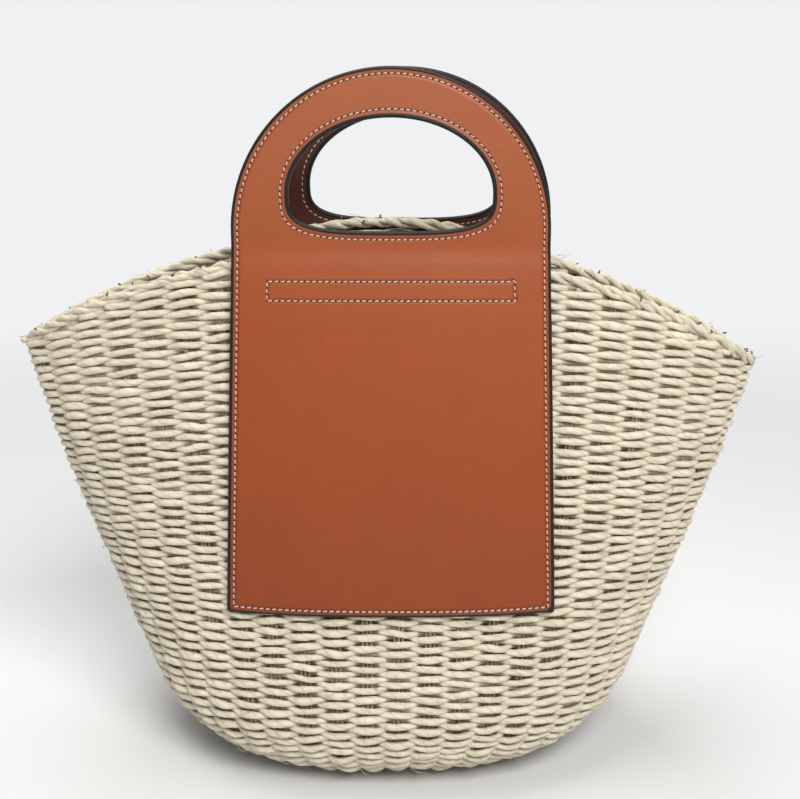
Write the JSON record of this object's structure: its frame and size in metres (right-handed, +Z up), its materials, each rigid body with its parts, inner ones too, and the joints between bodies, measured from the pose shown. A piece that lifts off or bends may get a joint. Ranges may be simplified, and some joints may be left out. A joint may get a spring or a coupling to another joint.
{
  "type": "beach bag",
  "caption": "Boat-shaped woven straw beach bag with a leather panel and an arched leather handle with a hand hole on each side.",
  "frame": {"origin": "centre of the bag's box on the floor that it stands on", "axes": "+X along the mouth from tip to tip, +Y from the front panel to the back panel, +Z up"},
  "size_m": [0.4286, 0.1846, 0.397],
  "materials": {
    "straw": "matte twisted paper cord",
    "stake_cord": "matte thin paper cord",
    "tan_leather": "semi-matte, fine grain, black painted edge",
    "dark_leather": "semi-matte, smooth",
    "core_board": "matte bonded leather board",
    "thread": "matte waxed sewing thread"
  },
  "bodies": {
    "basket": {"base_weave": "straw", "wall_weave": "straw", "stakes": "stake_cord", "rim_border": "straw", "front_panel": "tan_leather", "front_panel_seam": "thread", "front_anchor_tab": "dark_leather", "front_anchor_seam": "thread", "back_panel": "tan_leather", "back_panel_seam": "thread", "back_anchor_tab": "dark_leather", "back_anchor_seam": "thread"},
    "front_handle": {"front_handle_face": "tan_leather", "front_handle_core": "core_board", "front_handle_lining": "dark_leather", "front_handle_edge_seam": "thread", "front_handle_hole_seam": "thread"},
    "back_handle": {"back_handle_face": "tan_leather", "back_handle_core": "core_board", "back_handle_lining": "dark_leather", "back_handle_edge_seam": "thread", "back_handle_hole_seam": "thread"}
  },
  "joints": [
    {"name": "front_handle_flex", "type": "hinge", "parent": "basket", "child": "front_handle", "pos_m": [0, -0.02929, 0.305], "axis": [1, 0, 0], "range_deg": [-14, 60], "stiffness_Nm_per_rad": 0.12},
    {"name": "back_handle_flex", "type": "hinge", "parent": "basket", "child": "back_handle", "pos_m": [0.007, 0.02929, 0.305], "axis": [-1, 0, 0], "range_deg": [-14, 60], "stiffness_Nm_per_rad": 0.12}
  ]
}
